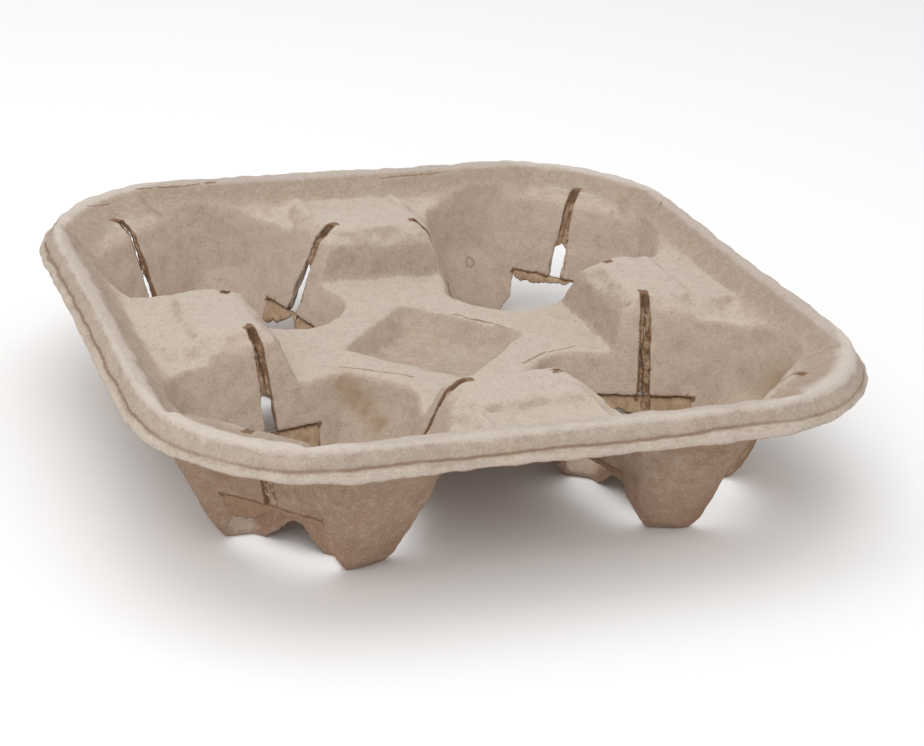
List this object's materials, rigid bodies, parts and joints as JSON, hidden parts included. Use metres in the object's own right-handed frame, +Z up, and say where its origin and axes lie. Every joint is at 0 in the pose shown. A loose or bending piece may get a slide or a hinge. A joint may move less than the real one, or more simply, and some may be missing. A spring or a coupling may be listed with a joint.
{
  "type": "cup carrier",
  "caption": "Square moulded-pulp tray that carries drinks cups in slit, footed hollows around a central basin, with a downturned rim.",
  "frame": {"origin": "on the floor under the middle of the tray", "axes": "+Z up, +X and +Y along the tray's two sides"},
  "size_m": [0.213, 0.213, 0.0495],
  "materials": {
    "pulp": "dry, fibrous, matte"
  },
  "bodies": {
    "root": {"pulp_tray": "pulp"}
  },
  "joints": []
}
